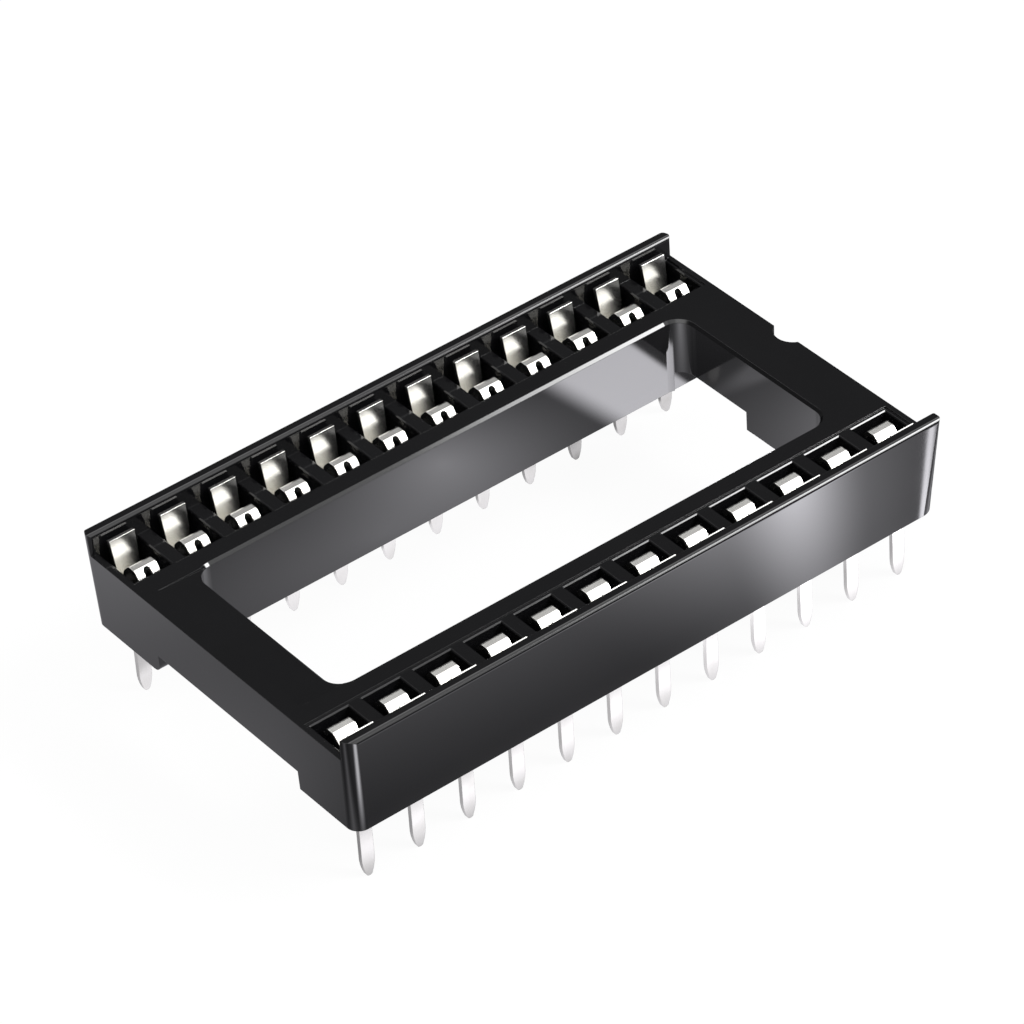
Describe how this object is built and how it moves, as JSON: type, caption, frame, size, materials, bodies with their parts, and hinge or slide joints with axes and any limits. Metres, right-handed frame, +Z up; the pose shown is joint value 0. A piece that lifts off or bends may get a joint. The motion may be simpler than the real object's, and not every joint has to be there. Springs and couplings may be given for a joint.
{
  "type": "ic socket",
  "caption": "Open-frame socket for a wide dual-row chip, with spring contacts along both rails, pointed solder tails, a rounded window and a key notch.",
  "frame": {"origin": "centre of the grid of tails, in the plane of the feet that stand on the board; the tails reach 3.55 mm below it", "axes": "+X along the rows towards the end with the notch, +Y across the rows, +Z up from the board"},
  "size_m": [0.0306, 0.018, 0.0083],
  "materials": {
    "housing": "glossy black moulding",
    "contact": "bright tin plate over a copper alloy"
  },
  "bodies": {
    "root": {"housing": "housing", "contact_01": "contact", "contact_02": "contact", "contact_03": "contact", "contact_04": "contact", "contact_05": "contact", "contact_06": "contact", "contact_07": "contact", "contact_08": "contact", "contact_09": "contact", "contact_10": "contact", "contact_11": "contact", "contact_12": "contact", "contact_13": "contact", "contact_14": "contact", "contact_15": "contact", "contact_16": "contact", "contact_17": "contact", "contact_18": "contact", "contact_19": "contact", "contact_20": "contact", "contact_21": "contact", "contact_22": "contact", "contact_23": "contact", "contact_24": "contact"}
  },
  "joints": []
}
